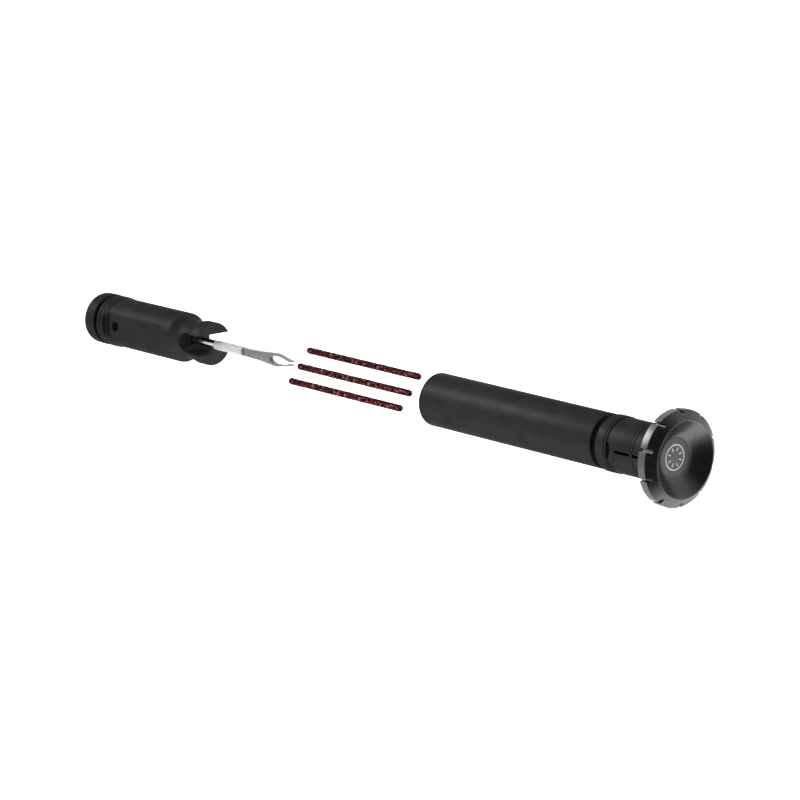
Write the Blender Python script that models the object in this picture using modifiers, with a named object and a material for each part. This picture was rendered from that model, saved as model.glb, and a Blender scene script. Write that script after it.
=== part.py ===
"""Tyre plug insertion tool that stores inside a bicycle's handlebar end.

The set is laid out in line, as it comes apart in use: the plug inserting tool, three loose
plugs, and the storage tube with its expanding collet and crown.

Frame: metres, +Z up. The tools' common axis runs along X, from the handle's end cap (-X)
to the crown (+X), at the height at which the crown stands on Z = 0 on the two edges of a notch.
The origin is under the middle of the whole layout.

Stations are distances along that axis from the storage tube's mouth, positive towards the
crown. Every body hangs on an empty whose local Z is the axis, whose local X points down and
whose local Y points away from the handle's front flat.
"""

from math import cos, pi, radians, sin, tan

import bmesh
import bpy
from mathutils import Matrix, Vector

MM = 0.001

# Driving dimensions
OVERALL_LENGTH = 266.4 * MM
CROWN_RADIUS = 13.9 * MM
CROWN_FACE = 101.4 * MM
TUBE_RADIUS = 8.0 * MM
TUBE_BORE_RADIUS = 7.2 * MM
TUBE_END = 71.7 * MM
NOTCH_WIDTH = 1.0 * MM
GAP = 0.3 * MM
SEGMENTS = 40

# Places that follow from them
MOUTH_X = OVERALL_LENGTH / 2 - CROWN_FACE
HANDLE_END = CROWN_FACE - OVERALL_LENGTH
AXIS_HEIGHT = CROWN_RADIUS - NOTCH_WIDTH / 2 * tan(pi / SEGMENTS)

# Handle
HEAD_RADIUS = 6.93 * MM
HEAD_FACE = -107.0 * MM
SHOULDER = -120.85 * MM
NECK_RADIUS = 6.15 * MM
NECK = -116.7 * MM
FLANGE_RADIUS = 8.3 * MM
FLANGE_END = -154.0 * MM
HANDLE_BODY_END = -157.0 * MM
SLOT_HALF_WIDTH = 3.2 * MM
SLOT_BOTTOM = -116.2 * MM
FLAT_DISTANCE = 6.83 * MM
FLAT_SPAN = (-153.85 * MM, -124.4 * MM)
FLAT_STEP_END = -155.1 * MM
FLAT_STEP_DISTANCE = 7.38 * MM
CROSS_HOLE_STATION = -150.25 * MM
CROSS_HOLE_RADIUS = 1.55 * MM
STUD_RADIUS = 2.8 * MM
STUD_END = -152.6 * MM
CAP_RADIUS = 8.4 * MM
CAP_FACE = -160.15 * MM
WASHER_THICKNESS = 1.05 * MM

# Needle
SHANK_RADIUS = 1.35 * MM
SHANK_START = -134.2 * MM
RASP_RADIUS = 1.55 * MM
RASP_SPAN = (-107.2 * MM, -91.7 * MM)
BLADE_THICKNESS = 1.45 * MM
BLADE_START = -93.1 * MM
FORK_TIP = -67.1 * MM

# Plugs
PLUG_RADIUS = 1.0 * MM
PLUG_LENGTH = 52.4 * MM
PLUG_END = -64.8 * MM
TOP_PLUG_SIDE = Vector((3.78, 4.15)) * MM
BOTTOM_PLUG_SIDE = Vector((-3.6, -4.45)) * MM
MIDDLE_PLUG_SIDE = Vector((-2.95, 0.63)) * MM
MIDDLE_PLUG_ADVANCE = 3.5 * MM

# Collet and crown
COLLAR_RADIUS = 8.25 * MM
COLLAR_SPAN = (73.6 * MM, 77.2 * MM)
RING_SEAT_RADIUS = 5.9 * MM
HEEL_RING_SPAN = (77.5 * MM, 78.1 * MM)
JAW_COUNT = 3
JAW_START = 78.4 * MM
JAW_END = 94.2 * MM
JAW_PIVOT = 78.9 * MM
JAW_PIVOT_RADIUS = 7.6 * MM
JAW_BORE_RADIUS = 4.2 * MM
WEDGE_START = 84.0 * MM
WEDGE_ANGLE = radians(15)
SLIT_WIDTH = 0.9 * MM
SLIT_START = 81.5 * MM
SPRING_RING_STATION = 87.95 * MM
SPRING_RING_RADIUS = 7.75 * MM
SPRING_RING_SECTION = 0.45 * MM
SCREW_RADIUS = 2.5 * MM
BADGE_RADIUS = 5.65 * MM
DISH_FLOOR = 97.2 * MM
DISH_BOW = 1.3
DISH_RIM_RADIUS = 11.04 * MM
RIM_SPAN = (96.5 * MM, 99.2 * MM)
NOTCH_COUNT = 10
NOTCH_DEPTH = 1.1 * MM
SCREW_HEAD_RADIUS = 4.5 * MM
SCREW_HEAD_SPAN = (93.2 * MM, 95.2 * MM)
SCREW_END = 72.0 * MM
SCREW_GROOVE = (82.7 * MM, 83.9 * MM)
CONE_END = 90.1 * MM
THRUST_WASHER_SPAN = (90.4 * MM, 91.2 * MM)


# Tools -----------------------------------------------------------------------------------


def clear_scene():
    for item in list(bpy.data.objects):
        bpy.data.objects.remove(item, do_unlink=True)


def new_collection(name):
    collection = bpy.data.collections.new(name)
    bpy.context.scene.collection.children.link(collection)
    return collection


def new_material(name, colour, roughness, metallic):
    material = bpy.data.materials.new(name)
    material.use_nodes = True
    shader = material.node_tree.nodes["Principled BSDF"]
    shader.inputs["Base Color"].default_value = (*colour, 1.0)
    shader.inputs["Roughness"].default_value = roughness
    shader.inputs["Metallic"].default_value = metallic
    return material


def new_empty(name, location, parent=None, turn=0.0):
    empty = bpy.data.objects.new(name, None)
    empty.empty_display_size = 10 * MM
    empty.location = location
    empty.rotation_euler = (0, 0, turn)
    empty.parent = parent
    PARTS.objects.link(empty)
    return empty


def new_object(name, mesh, collection, parent):
    item = bpy.data.objects.new(name, mesh)
    item.parent = parent
    collection.objects.link(item)
    return item


def settled_mesh(item):
    """The mesh that an object's modifiers or curve make, welded; the object is removed."""
    bpy.context.view_layer.update()
    graph = bpy.context.evaluated_depsgraph_get()
    mesh = bpy.data.meshes.new_from_object(item.evaluated_get(graph))
    cleaner = bmesh.new()
    cleaner.from_mesh(mesh)
    bmesh.ops.remove_doubles(cleaner, verts=cleaner.verts, dist=0.005 * MM)
    cleaner.to_mesh(mesh)
    cleaner.free()
    bpy.data.objects.remove(item, do_unlink=True)
    return mesh


def turned_mesh(name, outline, ring=False, segments=SEGMENTS):
    """An outline of (station, radius) points turned about the axis.

    The outline runs down the outer side, from the crown end to the handle end. A ring's
    outline closes on itself, and any other starts and ends on the axis.
    """
    mesh = bpy.data.meshes.new(name)
    points = [(radius, 0, station) for station, radius in outline]
    edges = [(index, index + 1) for index in range(len(points) - 1)]
    if ring:
        edges.append((len(points) - 1, 0))
    mesh.from_pydata(points, edges, [])
    blank = new_object(name + "_outline", mesh, CUTTERS, None)
    screw = blank.modifiers.new("Turn", "SCREW")
    screw.steps = segments
    screw.render_steps = segments
    screw.use_merge_vertices = True
    screw.merge_threshold = 0.001 * MM
    turned = settled_mesh(blank)
    turned.shade_smooth()
    turned.set_sharp_from_angle(angle=radians(35))
    turned.name = name
    return turned


def plate_mesh(name, outline, thickness):
    """A flat outline in the local X and Y plane, filled and given a thickness along Z."""
    curve = bpy.data.curves.new(name, "CURVE")
    curve.dimensions = "2D"
    curve.fill_mode = "BOTH"
    curve.extrude = thickness / 2
    spline = curve.splines.new("POLY")
    spline.points.add(len(outline) - 1)
    for point, (across, along) in zip(spline.points, outline):
        point.co = (across, along, 0, 1)
    spline.use_cyclic_u = True
    plate = settled_mesh(new_object(name + "_curve", curve, CUTTERS, None))
    plate.name = name
    return plate


def upright(mesh):
    """Turns a plate so that its outline lies in the local X and Z plane."""
    mesh.transform(Matrix.Rotation(pi / 2, 4, "X"))
    return mesh


def block_mesh(name, size, centre):
    mesh = bpy.data.meshes.new(name)
    builder = bmesh.new()
    bmesh.ops.create_cube(builder, size=1.0, matrix=Matrix.Diagonal((*size, 1.0)))
    bmesh.ops.translate(builder, verts=builder.verts, vec=centre)
    builder.to_mesh(mesh)
    builder.free()
    return mesh


def rod_mesh(name, radii, length, centre, turn=Matrix(), segments=24):
    """A straight rod, round or oval, centred on a point; turn swings it from local Z."""
    mesh = bpy.data.meshes.new(name)
    builder = bmesh.new()
    bmesh.ops.create_cone(
        builder,
        cap_ends=True,
        segments=segments,
        radius1=1.0,
        radius2=1.0,
        depth=1.0,
        matrix=turn @ Matrix.Diagonal((*radii, length, 1.0)),
    )
    bmesh.ops.translate(builder, verts=builder.verts, vec=centre)
    builder.to_mesh(mesh)
    builder.free()
    return mesh


def torus_mesh(name, ring_radius, section_radius, station):
    """An O-ring: a round section turned about the axis."""
    section = [
        (
            station + section_radius * sin(angle),
            ring_radius + section_radius * cos(angle),
        )
        for angle in (pi / 2 - 2 * pi * step / 12 for step in range(12))
    ]
    return turned_mesh(name, section, ring=True)


def arc(centre, radius, start, end, steps):
    """Points from one angle to another on a circle in the (station, radius) plane."""
    angles = [start + (end - start) * step / steps for step in range(steps + 1)]
    return [(centre[0] + radius * sin(a), centre[1] + radius * cos(a)) for a in angles]


def add_part(name, mesh, material, parent):
    part = new_object(name, mesh, PARTS, parent)
    mesh.materials.clear()
    mesh.materials.append(material)
    return part


def combine(part, name, mesh, operation, parent=None, turn=0.0):
    """Cuts a part with a mesh, or joins the mesh to it, in the part's own frame."""
    tool = new_object(name, mesh, CUTTERS, parent or part.parent)
    tool.rotation_euler = (0, 0, turn)
    tool.hide_render = True
    tool.display_type = "WIRE"
    boolean = part.modifiers.new(name, "BOOLEAN")
    boolean.operation = operation
    boolean.solver = "EXACT"
    boolean.object = tool


def cut(part, name, mesh, turn=0.0):
    combine(part, name, mesh, "DIFFERENCE", turn=turn)


# Inserting tool --------------------------------------------------------------------------


def build_handle_body(parent):
    """The turned handle: rear flange, long barrel, waisted neck and slotted head."""
    needle_bore = SHANK_RADIUS + GAP
    stud_bore = STUD_RADIUS + GAP
    edge = 0.4 * MM
    outline = [
        (SHANK_START - GAP, 0),
        (SHANK_START - GAP, needle_bore),
        (HEAD_FACE, needle_bore),
        (HEAD_FACE, HEAD_RADIUS - edge),
        (HEAD_FACE - edge, HEAD_RADIUS),
        (NECK + 5.8 * MM, HEAD_RADIUS),
        (NECK + 4.5 * MM, NECK_RADIUS + 0.55 * MM),
        (NECK + 3.4 * MM, NECK_RADIUS + 0.25 * MM),
        (NECK + 1.2 * MM, NECK_RADIUS),
        (NECK - 0.9 * MM, NECK_RADIUS + 0.08 * MM),
        (NECK - 2.2 * MM, NECK_RADIUS + 0.45 * MM),
        (NECK - 3.2 * MM, NECK_RADIUS + 1.1 * MM),
        (SHOULDER, TUBE_RADIUS),
        (FLANGE_END, TUBE_RADIUS),
        (FLANGE_END - GAP, FLANGE_RADIUS),
        (HANDLE_BODY_END + GAP, FLANGE_RADIUS),
        (HANDLE_BODY_END, FLANGE_RADIUS - GAP),
        (HANDLE_BODY_END, stud_bore),
        (STUD_END + GAP, stud_bore),
        (STUD_END + GAP, 0),
    ]
    mesh = turned_mesh("handle_body", outline)
    handle = add_part("handle_body", mesh, MATERIALS["anodised"], parent)

    overhang = 6 * MM
    round_centre = SLOT_BOTTOM + SLOT_HALF_WIDTH
    slot = [
        (SLOT_HALF_WIDTH * cos(angle), round_centre - SLOT_HALF_WIDTH * sin(angle))
        for angle in (pi * step / 12 for step in range(13))
    ]
    slot += [(-SLOT_HALF_WIDTH, HEAD_FACE + overhang), (SLOT_HALF_WIDTH, HEAD_FACE + overhang)]
    cut(handle, "head_slot_cutter", upright(plate_mesh("head_slot", slot, 4 * HEAD_RADIUS)))

    flat_length = FLAT_SPAN[1] - FLAT_SPAN[0]
    step_length = FLAT_SPAN[0] - FLAT_STEP_END + GAP
    for side in (-1, 1):
        centre = (0, side * (FLAT_DISTANCE + overhang / 2), sum(FLAT_SPAN) / 2)
        flat = block_mesh("flat", (4 * TUBE_RADIUS, overhang, flat_length), centre)
        cut(handle, f"flat_cutter_{side}", flat)
        centre = (0, side * (FLAT_STEP_DISTANCE + overhang / 2), FLAT_STEP_END + step_length / 2)
        step = block_mesh("flat_step", (4 * TUBE_RADIUS, overhang, step_length), centre)
        cut(handle, f"flat_step_cutter_{side}", step)

    across = Matrix.Rotation(pi / 2, 4, "X")
    hole = rod_mesh(
        "cross_hole",
        (CROSS_HOLE_RADIUS, CROSS_HOLE_RADIUS),
        4 * TUBE_RADIUS,
        (0, 0, CROSS_HOLE_STATION),
        across,
    )
    cut(handle, "cross_hole_cutter", hole)


def build_end_cap(parent):
    """The cap that screws into the handle's rear and clamps an O-ring and a washer."""
    lip = 7.6 * MM
    recess = CAP_FACE - 0.25 * MM
    rear_edge = 0.4 * MM
    outline = [
        (STUD_END, 0),
        (STUD_END, STUD_RADIUS - GAP),
        (STUD_END - GAP, STUD_RADIUS),
        (recess, STUD_RADIUS),
        (recess, lip),
        (CAP_FACE, lip),
        (CAP_FACE, CAP_RADIUS - GAP),
        (CAP_FACE - GAP, CAP_RADIUS),
        (HANDLE_END + 3 * rear_edge, CAP_RADIUS),
        (HANDLE_END + rear_edge, CAP_RADIUS - rear_edge / 4),
        (HANDLE_END, CAP_RADIUS - rear_edge),
        (HANDLE_END, 0),
    ]
    add_part("end_cap", turned_mesh("end_cap", outline), MATERIALS["anodised"], parent)

    section = 0.75 * MM
    ring = torus_mesh(
        "end_cap_o_ring", lip - GAP - section, section, recess + GAP + section
    )
    add_part("end_cap_o_ring", ring, MATERIALS["rubber"], parent)

    washer_front = HANDLE_BODY_END - GAP
    washer_back = washer_front - WASHER_THICKNESS
    washer = [
        (washer_front, FLANGE_RADIUS),
        (washer_back, FLANGE_RADIUS),
        (washer_back, STUD_RADIUS + GAP),
        (washer_front, STUD_RADIUS + GAP),
    ]
    mesh = turned_mesh("end_cap_washer", washer, ring=True)
    add_part("end_cap_washer", mesh, MATERIALS["anodised"], parent)


def build_fork_needle(parent):
    """The steel needle: a shank, a rasp and a flat blade that ends in an open eye."""
    shank = [
        (RASP_SPAN[1] + 0.4 * MM, 0),
        (RASP_SPAN[1] + 0.4 * MM, RASP_RADIUS - 0.4 * MM),
        (RASP_SPAN[1], RASP_RADIUS),
        (RASP_SPAN[0] + 0.2 * MM, RASP_RADIUS),
        (RASP_SPAN[0], SHANK_RADIUS),
        (SHANK_START, SHANK_RADIUS),
        (SHANK_START, 0),
    ]
    mesh = turned_mesh("fork_needle", shank, segments=20)
    needle = add_part("fork_needle", mesh, MATERIALS["steel"], parent)

    outer = [
        (BLADE_START, 1.1 * MM),
        (-92.0 * MM, 1.17 * MM),
        (-84.0 * MM, 1.4 * MM),
        (-78.0 * MM, 1.85 * MM),
        (-75.4 * MM, 2.05 * MM),
        (-73.8 * MM, 1.95 * MM),
        (-69.0 * MM, 0.95 * MM),
        (FORK_TIP, 0.72 * MM),
    ]
    inner = [
        (FORK_TIP, 0.42 * MM),
        (-69.2 * MM, 0.45 * MM),
        (-70.6 * MM, 0.75 * MM),
        (-72.4 * MM, 1.1 * MM),
        (-74.4 * MM, 1.25 * MM),
        (-76.4 * MM, 1.1 * MM),
        (-77.5 * MM, 0.7 * MM),
    ]
    eye_end = (0, -78.0 * MM)
    lower = [(half, station) for station, half in outer + inner]
    upper = [(-half, station) for station, half in reversed(outer + inner)]
    blade = upright(plate_mesh("blade", lower + [eye_end] + upper, BLADE_THICKNESS))
    combine(needle, "blade_join", blade, "UNION")


# Plugs -----------------------------------------------------------------------------------


def build_plugs(parent):
    """Three loose tyre plugs: cords with rounded ends, lying parallel to the axis."""
    steps = 4
    start, end = PLUG_RADIUS, PLUG_LENGTH - PLUG_RADIUS
    outline = arc((end, 0), PLUG_RADIUS, pi / 2, 0, steps)
    outline += arc((start, 0), PLUG_RADIUS, 0, -pi / 2, steps)
    mesh = turned_mesh("plug", outline, segments=16)
    places = {
        "plug_top": (TOP_PLUG_SIDE, 0.0),
        "plug_middle": (MIDDLE_PLUG_SIDE, MIDDLE_PLUG_ADVANCE),
        "plug_bottom": (BOTTOM_PLUG_SIDE, 0.0),
    }
    for name, (side, advance) in places.items():
        away, up = side
        slide = new_empty(name + "_slide", (-up, away, PLUG_END + advance), parent)
        add_part(name, mesh, MATERIALS["plug_cord"], slide)


# Storage tube and collet -----------------------------------------------------------------


def build_storage_tube(parent):
    """The tube that holds the tool and the plugs, with an O-ring just inside its mouth."""
    edge = 0.3 * MM
    lead_in = 0.6 * MM
    ring_station = 4.2 * MM
    section = 0.45 * MM
    ring_radius = 6.9 * MM
    groove_half = section + GAP
    groove_radius = ring_radius + section + GAP
    outline = [
        (TUBE_END, TUBE_RADIUS - edge),
        (TUBE_END - edge, TUBE_RADIUS),
        (edge / 2, TUBE_RADIUS),
        (0, TUBE_RADIUS - edge / 2),
        (0, TUBE_BORE_RADIUS + lead_in * 0.8),
        (lead_in, TUBE_BORE_RADIUS),
        (ring_station - groove_half, TUBE_BORE_RADIUS),
        (ring_station - groove_half, groove_radius),
        (ring_station + groove_half, groove_radius),
        (ring_station + groove_half, TUBE_BORE_RADIUS),
        (TUBE_END, TUBE_BORE_RADIUS),
    ]
    mesh = turned_mesh("storage_tube", outline, ring=True)
    add_part("storage_tube", mesh, MATERIALS["anodised"], parent)
    ring = torus_mesh("mouth_o_ring", ring_radius, section, ring_station)
    add_part("mouth_o_ring", ring, MATERIALS["rubber"], parent)


def build_collet_base(parent):
    """The plug that closes the tube, with the collar, the screw's bore and two ring seats."""
    spigot_start = 62.0 * MM
    bore_bottom = 69.0 * MM
    bore_radius = SCREW_RADIUS + GAP
    spigot_radius = TUBE_BORE_RADIUS - GAP
    edge = 0.25 * MM
    base_end = HEEL_RING_SPAN[1]
    outline = [
        (bore_bottom, 0),
        (bore_bottom, bore_radius),
        (base_end, bore_radius),
        (base_end, RING_SEAT_RADIUS),
        (COLLAR_SPAN[1], RING_SEAT_RADIUS),
        (COLLAR_SPAN[1], COLLAR_RADIUS - edge),
        (COLLAR_SPAN[1] - edge, COLLAR_RADIUS),
        (COLLAR_SPAN[0] + edge, COLLAR_RADIUS),
        (COLLAR_SPAN[0], COLLAR_RADIUS - edge),
        (COLLAR_SPAN[0], RING_SEAT_RADIUS),
        (TUBE_END - GAP, RING_SEAT_RADIUS),
        (TUBE_END - GAP, spigot_radius),
        (spigot_start + edge, spigot_radius),
        (spigot_start, spigot_radius - edge),
        (spigot_start, 0),
    ]
    mesh = turned_mesh("collet_base", outline)
    add_part("collet_base", mesh, MATERIALS["anodised"], parent)

    section = 0.75 * MM
    middle = (TUBE_END + COLLAR_SPAN[0]) / 2
    ring = torus_mesh("grip_o_ring", RING_SEAT_RADIUS + GAP + section, section, middle)
    add_part("grip_o_ring", ring, MATERIALS["rubber"], parent)

    heel_back, heel_front = HEEL_RING_SPAN
    heel_radius = COLLAR_RADIUS - 0.05 * MM
    heel = [
        (heel_front, heel_radius),
        (heel_back, heel_radius),
        (heel_back, RING_SEAT_RADIUS + GAP),
        (heel_front, RING_SEAT_RADIUS + GAP),
    ]
    mesh = turned_mesh("jaw_heel_ring", heel, ring=True)
    add_part("jaw_heel_ring", mesh, MATERIALS["anodised"], parent)


def wedge_radius(station):
    """Radius of the jaws' bore, which opens as a cone towards the crown."""
    return JAW_BORE_RADIUS + max(0.0, station - WEDGE_START) * tan(WEDGE_ANGLE)


def jaw_mesh():
    """One jaw of the collet, its middle on local +X, with its pivot at the origin."""
    groove_half = SPRING_RING_SECTION + GAP
    groove_radius = SPRING_RING_RADIUS - SPRING_RING_SECTION - GAP
    edge = 0.4 * MM
    outline = [
        (JAW_END, TUBE_RADIUS - edge),
        (JAW_END - edge, TUBE_RADIUS),
        (SPRING_RING_STATION + groove_half, TUBE_RADIUS),
        (SPRING_RING_STATION + groove_half, groove_radius),
        (SPRING_RING_STATION - groove_half, groove_radius),
        (SPRING_RING_STATION - groove_half, TUBE_RADIUS),
        (JAW_START, TUBE_RADIUS),
        (JAW_START, JAW_BORE_RADIUS),
        (WEDGE_START, JAW_BORE_RADIUS),
        (JAW_END, wedge_radius(JAW_END)),
    ]
    blank = new_object("jaw_blank", turned_mesh("jaw", outline, ring=True), CUTTERS, None)

    half_angle = pi / JAW_COUNT
    reach = 4 * TUBE_RADIUS
    apex = GAP / 2 / sin(half_angle)
    sector = [
        (apex, 0),
        (apex + reach * cos(half_angle), reach * sin(half_angle)),
        (apex + reach, 0),
        (apex + reach * cos(half_angle), -reach * sin(half_angle)),
    ]
    wedge = plate_mesh("jaw_sector", sector, 4 * JAW_END)
    combine(blank, "jaw_sector_cutter", wedge, "INTERSECT")

    overhang = 4 * MM
    slit_length = JAW_END - SLIT_START + overhang
    slit_size = (2 * TUBE_RADIUS, SLIT_WIDTH, slit_length)
    pocket_floor = TUBE_RADIUS - 0.9 * MM
    pocket_radii = (1.6 * MM, 2.6 * MM)
    outward = Matrix.Rotation(pi / 2, 4, "Y")
    for side in (-1, 1):
        slit_centre = (TUBE_RADIUS, 0, SLIT_START + slit_length / 2)
        slit = block_mesh("jaw_slit", slit_size, slit_centre)
        cut(blank, f"jaw_slit_cutter_{side}", slit, turn=side * half_angle)
        pocket_centre = (pocket_floor + overhang / 2, 0, HEEL_RING_SPAN[1])
        pocket = rod_mesh("jaw_pocket", pocket_radii, overhang, pocket_centre, outward)
        cut(blank, f"jaw_pocket_cutter_{side}", pocket, turn=side * half_angle)

    mesh = settled_mesh(blank)
    mesh.transform(Matrix.Translation((-JAW_PIVOT_RADIUS, 0, -JAW_PIVOT)))
    mesh.name = "collet_jaw"
    return mesh


def build_collet_jaws(parent):
    """Three jaws that tip outwards about their heels, and the spring ring that closes them.

    One slit faces the handle's front flat, so the first jaw's middle is a half jaw further.
    """
    mesh = jaw_mesh()
    for number in range(JAW_COUNT):
        middle = -pi / 2 + (2 * number + 1) * pi / JAW_COUNT
        out = Vector((cos(middle), sin(middle))) * JAW_PIVOT_RADIUS
        name = f"collet_jaw_{number + 1}"
        hinge = new_empty(name + "_hinge", (*out, JAW_PIVOT), parent, turn=middle)
        add_part(name, mesh, MATERIALS["anodised"], hinge)

    ring = torus_mesh(
        "jaw_spring_ring", SPRING_RING_RADIUS, SPRING_RING_SECTION, SPRING_RING_STATION
    )
    add_part("jaw_spring_ring", ring, MATERIALS["anodised"], parent)


# Crown and its screw ---------------------------------------------------------------------


def build_expander_cone(parent):
    """The cone that the crown pushes between the jaws."""
    start, end = WEDGE_START, CONE_END
    play = GAP / cos(WEDGE_ANGLE)
    bore = SCREW_RADIUS + GAP
    outline = [
        (end, wedge_radius(end) - play),
        (start, wedge_radius(start) - play),
        (start, bore),
        (end, bore),
    ]
    mesh = turned_mesh("expander_cone", outline, ring=True)
    add_part("expander_cone", mesh, MATERIALS["steel"], parent)


def crown_outline():
    """The crown's section: bevelled rim, stepped hub, counterbore and a bowed dish."""
    rear, rim_front = RIM_SPAN
    edge = 0.2 * MM
    hub_step = 95.3 * MM
    hub_end = 91.5 * MM
    hub_radius = 5.5 * MM
    shoulder_radius = 7.0 * MM
    head_floor = SCREW_HEAD_SPAN[0] - GAP
    head_bore = SCREW_HEAD_RADIUS + GAP
    badge_floor = 95.5 * MM
    badge_bore = BADGE_RADIUS + GAP
    screw_bore = SCREW_RADIUS + GAP
    outline = [
        (CROWN_FACE, DISH_RIM_RADIUS),
        (rim_front, CROWN_RADIUS),
        (rear + edge, CROWN_RADIUS),
        (rear, CROWN_RADIUS - edge),
        (rear, shoulder_radius),
        (hub_step, shoulder_radius),
        (hub_step, hub_radius),
        (hub_end, hub_radius),
        (hub_end, screw_bore),
        (head_floor, screw_bore),
        (head_floor, head_bore),
        (badge_floor, head_bore),
        (badge_floor, badge_bore),
        (DISH_FLOOR, badge_bore),
    ]
    rise = CROWN_FACE - DISH_FLOOR
    steps = 6
    for step in range(1, steps):
        share = step / steps
        radius = badge_bore + (DISH_RIM_RADIUS - badge_bore) * share
        outline.append((DISH_FLOOR + rise * share**DISH_BOW, radius))
    return outline


def build_crown(parent):
    """The notched crown that is turned by hand, and the plain badge in its dish."""
    mesh = turned_mesh("crown", crown_outline(), ring=True)
    crown = add_part("crown", mesh, MATERIALS["anodised"], parent)
    length = CROWN_FACE - RIM_SPAN[0] + 2 * MM
    size = (2 * NOTCH_DEPTH, NOTCH_WIDTH, length)
    centre = (CROWN_RADIUS, 0, RIM_SPAN[0] - 1 * MM + length / 2)
    for number in range(NOTCH_COUNT):
        angle = 2 * pi * number / NOTCH_COUNT
        notch = block_mesh("notch", size, centre)
        cut(crown, f"notch_cutter_{number + 1}", notch, turn=angle)

    back = 95.8 * MM
    edge = 0.2 * MM
    badge = [
        (DISH_FLOOR, 0),
        (DISH_FLOOR, BADGE_RADIUS - edge),
        (DISH_FLOOR - edge, BADGE_RADIUS),
        (back, BADGE_RADIUS),
        (back, 0),
    ]
    mesh = turned_mesh("crown_badge", badge)
    add_part("crown_badge", mesh, MATERIALS["badge"], parent)


def build_draw_screw(parent):
    """The screw fixed in the crown, with the clip and washer that carry the cone along."""
    head_bottom, head_top = SCREW_HEAD_SPAN
    groove = SCREW_GROOVE
    groove_radius = SCREW_RADIUS - 0.5 * MM
    edge = 0.4 * MM
    outline = [
        (head_top, 0),
        (head_top, SCREW_HEAD_RADIUS - GAP),
        (head_top - GAP, SCREW_HEAD_RADIUS),
        (head_bottom, SCREW_HEAD_RADIUS),
        (head_bottom, SCREW_RADIUS),
        (groove[1], SCREW_RADIUS),
        (groove[1], groove_radius),
        (groove[0], groove_radius),
        (groove[0], SCREW_RADIUS),
        (SCREW_END + edge, SCREW_RADIUS),
        (SCREW_END, SCREW_RADIUS - edge),
        (SCREW_END, 0),
    ]
    mesh = turned_mesh("draw_screw", outline, segments=24)
    screw = add_part("draw_screw", mesh, MATERIALS["steel"], parent)
    hex_radius = 1.5 * MM / cos(pi / 6)
    hex_length = 3 * MM
    socket = rod_mesh(
        "hex_socket", (hex_radius, hex_radius), hex_length, (0, 0, head_top), segments=6
    )
    cut(screw, "hex_socket_cutter", socket)

    washer_back, washer_front = THRUST_WASHER_SPAN
    washer_radius = 5.0 * MM
    washer = [
        (washer_front, washer_radius),
        (washer_back, washer_radius),
        (washer_back, SCREW_RADIUS + GAP),
        (washer_front, SCREW_RADIUS + GAP),
    ]
    mesh = turned_mesh("thrust_washer", washer, ring=True)
    add_part("thrust_washer", mesh, MATERIALS["steel"], parent)

    clip_radius = 3.6 * MM
    clip_middle = sum(groove) / 2
    half = 0.3 * MM
    opening_width = 2.4 * MM
    outline = [
        (clip_middle + half, clip_radius),
        (clip_middle - half, clip_radius),
        (clip_middle - half, groove_radius + GAP),
        (clip_middle + half, groove_radius + GAP),
    ]
    mesh = turned_mesh("retaining_clip", outline, ring=True, segments=24)
    clip = add_part("retaining_clip", mesh, MATERIALS["steel"], parent)
    opening_size = (2 * clip_radius, opening_width, 4 * half)
    opening = block_mesh("clip_opening", opening_size, (clip_radius, 0, clip_middle))
    cut(clip, "clip_opening_cutter", opening)


def main():
    axis = new_empty("tool_axis", (MOUTH_X, 0, AXIS_HEIGHT))
    axis.rotation_euler = (0, pi / 2, 0)

    tool_slide = new_empty("tool_slide", (0, 0, 0), axis)
    build_handle_body(tool_slide)
    build_end_cap(tool_slide)
    build_fork_needle(tool_slide)

    build_plugs(axis)
    build_storage_tube(axis)
    build_collet_base(axis)
    build_collet_jaws(axis)

    cone_slide = new_empty("cone_slide", (0, 0, 0), axis)
    build_expander_cone(cone_slide)
    crown_turn = new_empty("crown_turn", (0, 0, 0), cone_slide)
    build_crown(crown_turn)
    build_draw_screw(crown_turn)


clear_scene()
PARTS = new_collection("tyre_plug_insertion_tool")
CUTTERS = new_collection("cutters")
MATERIALS = {
    "anodised": new_material("black_anodised_aluminium", (0.03, 0.03, 0.032), 0.38, 0.6),
    "steel": new_material("steel", (0.6, 0.6, 0.58), 0.3, 1.0),
    "rubber": new_material("black_rubber", (0.012, 0.012, 0.012), 0.6, 0.0),
    "plug_cord": new_material("maroon_plug_cord", (0.09, 0.012, 0.02), 0.55, 0.0),
    "badge": new_material("badge_black", (0.05, 0.05, 0.052), 0.35, 0.4),
}
main()
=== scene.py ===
"""Looks of the tyre plug insertion tool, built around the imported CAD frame.

Every piece is made in tool space: local Z runs along the tools' common axis from the storage
tube's mouth towards the crown, local X points down and local Y points away from the camera's
side. Stations are distances along that axis, in metres.
"""

from math import cos, hypot, pi, radians, sin, sqrt

import bmesh
import bpy
from mathutils import Matrix, Vector, noise


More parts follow.
